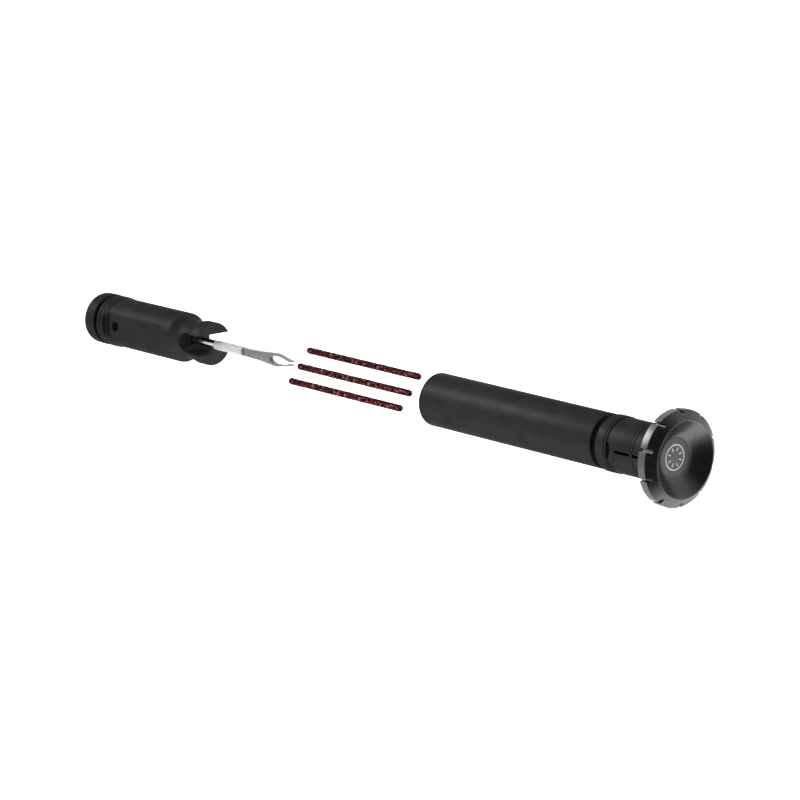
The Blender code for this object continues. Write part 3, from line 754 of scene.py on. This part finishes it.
def build_collet_base():
    """The plug that closes the tube, with its collar, and the rings before and after the collar."""
    bore_floor, bore_radius = 69.0 * MM, 2.8 * MM
    base_front = 78.1 * MM
    collar_start, collar_end = 74.0 * MM, 77.25 * MM
    collar_radius = 8.25 * MM
    seat = 5.9 * MM
    spigot_start, spigot_end = 62.0 * MM, 71.5 * MM
    spigot_radius = 7.05 * MM
    outline = [
        (bore_floor, 0),
        (bore_floor, bore_radius),
        (base_front, bore_radius),
        (base_front, seat),
        (collar_end, seat),
        (collar_end, collar_radius, 0.12 * MM),
        (collar_start, collar_radius, 0.25 * MM),
        (collar_start, seat),
        (spigot_end, seat),
        (spigot_end, spigot_radius),
        (spigot_start, spigot_radius, 0.3 * MM),
        (spigot_start, 0),
    ]
    item = make_object("collet_collar", turned(filleted(outline)))
    finish_piece(item, "case", ANODISED, "anodised", "collet_base")

    seal_start, seal_end = TUBE_END + 0.1 * MM, collar_start - 0.1 * MM
    seal_radius, seal_inside = 7.4 * MM, seat + 0.05 * MM
    seal = [
        (seal_end, seal_radius, 0.5 * MM),
        (seal_start, seal_radius, 0.3 * MM),
        (seal_start, seal_inside),
        (seal_end, seal_inside),
    ]
    ring = make_object("grip_seal", turned(filleted(seal, closed=True), True))
    finish_piece(ring, "case", RUBBER, "rubber", "grip_o_ring")

    heel_start, heel_end = 77.45 * MM, 78.15 * MM
    heel_radius, heel_inside = 8.22 * MM, seat + 0.1 * MM
    edge = 0.12 * MM
    heel = [
        (heel_end, heel_radius, edge),
        (heel_start, heel_radius, edge),
        (heel_start, heel_inside),
        (heel_end, heel_inside),
    ]
    item = make_object("heel_ring", turned(filleted(heel, closed=True), True))
    finish_piece(item, "case", ANODISED, "anodised", "jaw_heel_ring")


JAW_COUNT = 3
JAW_SPAN = (78.3 * MM, 94.2 * MM)
JAW_BORE = 4.5 * MM
WEDGE_START = 84.0 * MM
WEDGE_MOUTH = 7.2 * MM
SLIT_START = 81.5 * MM
SLIT_WIDTH = 0.9 * MM
HEEL_POCKET = 78.1 * MM
SPRING_STATION = 87.95 * MM
SPRING_GROOVE_HALF = 0.65 * MM
SPRING_GROOVE_FLOOR = 7.2 * MM


def build_jaws():
    """Each jaw is a third of one turned sleeve, with half a slit at each side, and its ring arc."""
    start, end = JAW_SPAN
    groove_start = SPRING_STATION - SPRING_GROOVE_HALF
    groove_end = SPRING_STATION + SPRING_GROOVE_HALF
    groove_edge = 0.06 * MM
    outline = [
        (end, TUBE_RADIUS, 0.5 * MM),
        (groove_end, TUBE_RADIUS, groove_edge),
        (groove_end, SPRING_GROOVE_FLOOR),
        (groove_start, SPRING_GROOVE_FLOOR),
        (groove_start, TUBE_RADIUS, groove_edge),
        (start, TUBE_RADIUS, 0.15 * MM),
        (start, JAW_BORE),
        (WEDGE_START, JAW_BORE),
        (end, WEDGE_MOUTH, 0.1 * MM),
    ]
    half_angle = pi / JAW_COUNT
    reach = 4 * TUBE_RADIUS
    hairline = 0.03 * MM
    sector = [
        (hairline, 0),
        (hairline + reach * cos(half_angle), reach * sin(half_angle)),
        (hairline + reach, 0),
        (hairline + reach * cos(half_angle), -reach * sin(half_angle)),
    ]
    slit_size = (2 * TUBE_RADIUS, SLIT_WIDTH, 20 * MM)
    slit_centre = (TUBE_RADIUS, 0, SLIT_START + slit_size[2] / 2)
    pocket_radii = (1.55 * MM, 2.55 * MM)
    pocket_floor, pocket_depth = 7.05 * MM, 4 * MM
    pocket_centre = (pocket_floor + pocket_depth / 2, 0, HEEL_POCKET)
    outward = Matrix.Rotation(pi / 2, 4, "Y")
    for number in range(JAW_COUNT):
        middle = -pi / 2 + (2 * number + 1) * half_angle
        name = f"collet_jaw_{number + 1}"
        item = make_object(f"jaw_{number + 1}_finger", turned(filleted(outline, closed=True), True))
        combine(item, [(prism(sector, 0.4), middle)], "INTERSECT")
        cutters = []
        for side in (-1, 1):
            turn = middle + side * half_angle
            cutters.append((block(slit_size, slit_centre), turn))
            cutters.append((rod(pocket_radii, pocket_depth, pocket_centre, outward), turn))
        combine(item, cutters)
        finish_piece(item, f"jaw_{number + 1}", ANODISED, "anodised", name)

        spring = make_object(f"spring_ring_arc_{number + 1}", ring_arc(middle, half_angle + radians(3)))
        nodes = ("jaw_spring_ring",) if number == 0 else ()
        finish_piece(spring, f"jaw_{number + 1}", ANODISED, "anodised", *nodes)


def ring_arc(middle, half_sweep):
    """A third of the spring ring, long enough to overlap its neighbours across the slits."""
    steps = 52
    half, bevel = 0.55 * MM, 0.1 * MM
    outside, shoulder, inside = 8.1 * MM, 7.95 * MM, 7.3 * MM
    section = [
        (SPRING_STATION + half, shoulder),
        (SPRING_STATION + half - bevel, outside),
        (SPRING_STATION - half + bevel, outside),
        (SPRING_STATION - half, shoulder),
        (SPRING_STATION - half, inside),
        (SPRING_STATION + half, inside),
    ]
    builder = bmesh.new()
    loops = []
    for step in range(steps + 1):
        angle = middle - half_sweep + 2 * half_sweep * step / steps
        loops.append([builder.verts.new((r * cos(angle), r * sin(angle), s)) for s, r in section])
    for first, second in zip(loops, loops[1:]):
        for index in range(len(section)):
            after = (index + 1) % len(section)
            builder.faces.new((first[index], first[after], second[after], second[index]))
    builder.faces.new(loops[0])
    builder.faces.new(reversed(loops[-1]))
    bmesh.ops.recalc_face_normals(builder, faces=builder.faces)
    return builder


# Crown -----------------------------------------------------------------------------------

NOTCH_COUNT = 10
RIM_SPAN = (96.5 * MM, 99.2 * MM)
DISH_RIM = 11.04 * MM
DISH_FLOOR = 97.2 * MM
DISH_BOW = 1.3
BADGE_RADIUS = 5.65 * MM
BADGE_PLAY = 0.04 * MM


def dish_outline(steps=14):
    """The dish from the badge's recess out to the rim, bowed between a cone and a sphere."""
    inner = BADGE_RADIUS + BADGE_PLAY
    rise = CROWN_FACE - DISH_FLOOR
    points = []
    for step in range(steps):
        share = step / steps
        points.append((DISH_FLOOR + rise * share**DISH_BOW, inner + (DISH_RIM - inner) * share))
    return points


def notch_outline():
    """A notch's section across the rim: round floor, and lips that flare at the surface."""
    half = 0.6 * MM
    floor = CROWN_RADIUS - 1.5 * MM
    corner = 0.35 * MM
    lip = 0.35 * MM
    side = arc_points((floor + corner, half - corner), corner, pi, 0.5 * pi, 5)
    side += arc_points((CROWN_RADIUS - lip, half + lip), lip, 1.5 * pi, 2 * pi, 7)
    side.append((CROWN_RADIUS + 2 * MM, half + lip))
    return side + [(x, -y) for x, y in reversed(side)]


def build_crown():
    """The rim, the step and the hub behind it, the screw head's recess, then the dish."""
    rear, rim_front = RIM_SPAN
    step_rear, step_radius = 95.3 * MM, 7.0 * MM
    hub_rear, hub_radius = 91.5 * MM, 5.5 * MM
    screw_hole = 2.8 * MM
    recess_floor, recess_radius = 92.9 * MM, 4.8 * MM
    badge_seat = 95.5 * MM
    outline = [
        (CROWN_FACE, DISH_RIM, 0.25 * MM),
        (rim_front, CROWN_RADIUS, 0.3 * MM),
        (rear, CROWN_RADIUS, 0.3 * MM),
        (rear, step_radius),
        (step_rear, step_radius, 0.15 * MM),
        (step_rear, hub_radius),
        (hub_rear, hub_radius, 0.2 * MM),
        (hub_rear, screw_hole),
        (recess_floor, screw_hole),
        (recess_floor, recess_radius),
        (badge_seat, recess_radius),
        (badge_seat, BADGE_RADIUS + BADGE_PLAY),
        *dish_outline(),
    ]
    item = make_object("crown_cap", turned(filleted(outline, 5, True), True, 180))
    cutters = []
    notch_length, notch_middle = 12 * MM, 99 * MM
    for number in range(NOTCH_COUNT):
        notch = prism(notch_outline(), notch_length)
        bmesh.ops.translate(notch, verts=notch.verts, vec=(0, 0, notch_middle))
        cutters.append((notch, 2 * pi * number / NOTCH_COUNT))
    combine(item, cutters)
    finish_piece(item, "crown", CROWN_FINISH, "anodised", "crown")


def build_badge():
    """The disc, and a plain generic mark on it: a ring around eight ticks."""
    disc_back = 95.8 * MM
    outline = [
        (DISH_FLOOR, 0),
        (DISH_FLOOR, BADGE_RADIUS, 0.06 * MM),
        (disc_back, BADGE_RADIUS),
        (disc_back, 0),
    ]
    item = make_object("badge_disc", turned(filleted(outline)))
    finish_piece(item, "crown", BADGE_FINISH, "badge", "crown_badge")

    top, sunk = DISH_FLOOR + 0.06 * MM, DISH_FLOOR - 0.05 * MM
    ring_inside, ring_outside = 3.35 * MM, 3.75 * MM
    edge = 0.04 * MM
    ring = [
        (top, ring_outside, edge),
        (sunk, ring_outside),
        (sunk, ring_inside),
        (top, ring_inside, edge),
    ]
    mark = make_object("badge_ring", turned(filleted(ring, closed=True), True))
    finish_piece(mark, "crown", BARE_METAL, "badge")

    tick_count = 8
    tick_size = (1.05 * MM, 0.34 * MM, 0.1 * MM)
    tick_centre = (2.3 * MM, 0, DISH_FLOOR + 0.01 * MM)
    ticks = bmesh.new()
    mesh = bpy.data.meshes.new("tick")
    for number in range(tick_count):
        angle = 2 * pi * (number + 0.5) / tick_count
        tick = block(tick_size, tick_centre)
        bmesh.ops.rotate(tick, verts=tick.verts, matrix=Matrix.Rotation(angle, 3, "Z"))
        tick.to_mesh(mesh)
        tick.free()
        ticks.from_mesh(mesh)
    item = make_object("badge_ticks", ticks)
    finish_piece(item, "crown", BARE_METAL, "badge")


def dress_inner_nodes():
    """The steel pieces inside the collet keep their CAD shape and take a turned finish."""
    for name in ("expander_cone", "draw_screw", "thrust_washer", "retaining_clip"):
        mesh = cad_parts[name].data
        mesh.materials.clear()
        mesh.materials.append(TURNED_STEEL)


# Stage -----------------------------------------------------------------------------------

FLAG_SIDE = (0.49, -0.853, 0.174)
FLAG_REACH = 50 * MM
DIM_END = (-0.7, 0.7, -0.14)
GLOW_SIDE = (-0.75, 0.25, 0.6)


def build_floor():
    """A plain floor that the pieces stand on; reflections see the world below it instead."""
    builder = bmesh.new()
    bmesh.ops.create_grid(builder, x_segments=2, y_segments=2, size=6.0)
    floor = make_object("floor", builder)
    floor.matrix_world = Matrix.Translation((0, 0, -0.02 * MM))
    floor.data.materials.append(floor_material())
    floor.visible_glossy = False


def flag_material():
    """A black card that thins out towards its edges; it is only ever seen in reflections."""
    shader = Shader("flag_card", (0.0, 0.0, 0.0), 1.0, Specular_IOR_Level=0.0)
    towards = shader.node("ShaderNodeVectorMath", operation="DOT_PRODUCT")
    towards.inputs[1].default_value = Vector(FLAG_SIDE).normalized() / FLAG_REACH
    shader.link(shader.position, towards.inputs[0])
    cover = shader.ramp(towards.outputs["Value"], (0.0, 0.0), (0.25, 0.55), (0.55, 1.0))
    shader.link(cover, shader.shader.inputs["Alpha"])
    return shader.material


def build_flag():
    """A half dome of black card beside the crown, for the dark side of its dish and bevel."""
    builder = bmesh.new()
    bmesh.ops.create_uvsphere(builder, u_segments=64, v_segments=48, radius=FLAG_REACH)
    behind = [vert for vert in builder.verts if vert.co.x < -4 * MM]
    bmesh.ops.delete(builder, geom=behind, context="VERTS")
    flag = make_object("flag", builder)
    flag.matrix_world = Matrix.Translation((MOUTH_X + CROWN_FACE, 0, AXIS_Z))
    flag.data.materials.append(flag_material())
    flag.visible_camera = False
    flag.visible_diffuse = False
    flag.visible_shadow = False


def add_light(name, location, target, size, power, shape="RECTANGLE", size_y=None):
    light = bpy.data.lights.new(name, "AREA")
    light.shape = shape
    light.size = size
    light.size_y = size_y or size
    light.energy = power
    item = bpy.data.objects.new(name, light)
    item.location = location
    direction = Vector(target) - Vector(location)
    item.rotation_euler = direction.to_track_quat("-Z", "Y").to_euler()
    bpy.context.scene.collection.objects.link(item)
    return item


def build_world():
    """A pale studio: brighter below than above, dim beyond the handle and with a soft glow."""
    world = bpy.data.worlds.new("studio")
    world.use_nodes = True
    tree = world.node_tree
    direction = tree.nodes.new("ShaderNodeTexCoord").outputs["Generated"]

    def mapped(value, start, end, low, high):
        node = tree.nodes.new("ShaderNodeMapRange")
        for label, number in zip(("From Min", "From Max", "To Min", "To Max"), (start, end, low, high)):
            node.inputs[label].default_value = number
        tree.links.new(value, node.inputs["Value"])
        return node.outputs[0]

    def facing(axis):
        node = tree.nodes.new("ShaderNodeVectorMath")
        node.operation = "DOT_PRODUCT"
        node.inputs[1].default_value = Vector(axis).normalized()
        tree.links.new(direction, node.inputs[0])
        return node.outputs["Value"]

    def product(first, second):
        node = tree.nodes.new("ShaderNodeMath")
        node.operation = "MULTIPLY"
        tree.links.new(first, node.inputs[0])
        tree.links.new(second, node.inputs[1])
        return node.outputs[0]

    below = mapped(facing((0, 0, 1)), -1.0, 0.1, 2.4, 1.0)
    above = mapped(facing((0, 0, 1)), 0.1, 1.0, 1.0, 0.45)
    far_end = mapped(facing(DIM_END), 0.65, 1.0, 1.0, 0.7)
    glow = mapped(facing(GLOW_SIDE), 0.45, 0.95, 1.0, 2.3)
    strength = product(product(below, above), product(far_end, glow))
    tree.links.new(strength, tree.nodes["Background"].inputs["Strength"])
    tree.nodes["Background"].inputs["Color"].default_value = (1.0, 1.0, 1.0, 1.0)
    bpy.context.scene.world = world


def build_lights():
    """A broad key high behind the handle's end, and a fill beyond the crown for its dish."""
    add_light("key", (-2.93, -1.67, 2.15), (0, 0, 0.01), 1.7, 44, size_y=1.3)
    side = add_light("far_side", (0.45, 1.5, 0.15), (0.1, 0, 0.014), 0.6, 90)
    side.visible_glossy = False


def build_camera():
    """The viewpoint: well to the crown's side of the front, a little above, with a long lens."""
    camera = bpy.data.cameras.new("camera")
    camera.lens = 157.5
    camera.sensor_width = 36
    camera.clip_end = 20
    item = bpy.data.objects.new("camera", camera)
    from_mouth = Vector((0.7505, -0.6754, 0.2265))
    item.location = Vector((MOUTH_X, 0, AXIS_Z)) + from_mouth
    item.rotation_euler = (radians(90 - 12.655), 0, radians(48.665))
    bpy.context.scene.collection.objects.link(item)
    bpy.context.scene.camera = item


bpy.context.scene.view_settings.view_transform = "Standard"
build_camera()
build_handle()
build_end_cap()
build_needle()
build_plugs()
build_tube()
build_collet_base()
build_jaws()
build_crown()
build_badge()
dress_inner_nodes()
build_floor()
build_flag()
build_world()
build_lights()
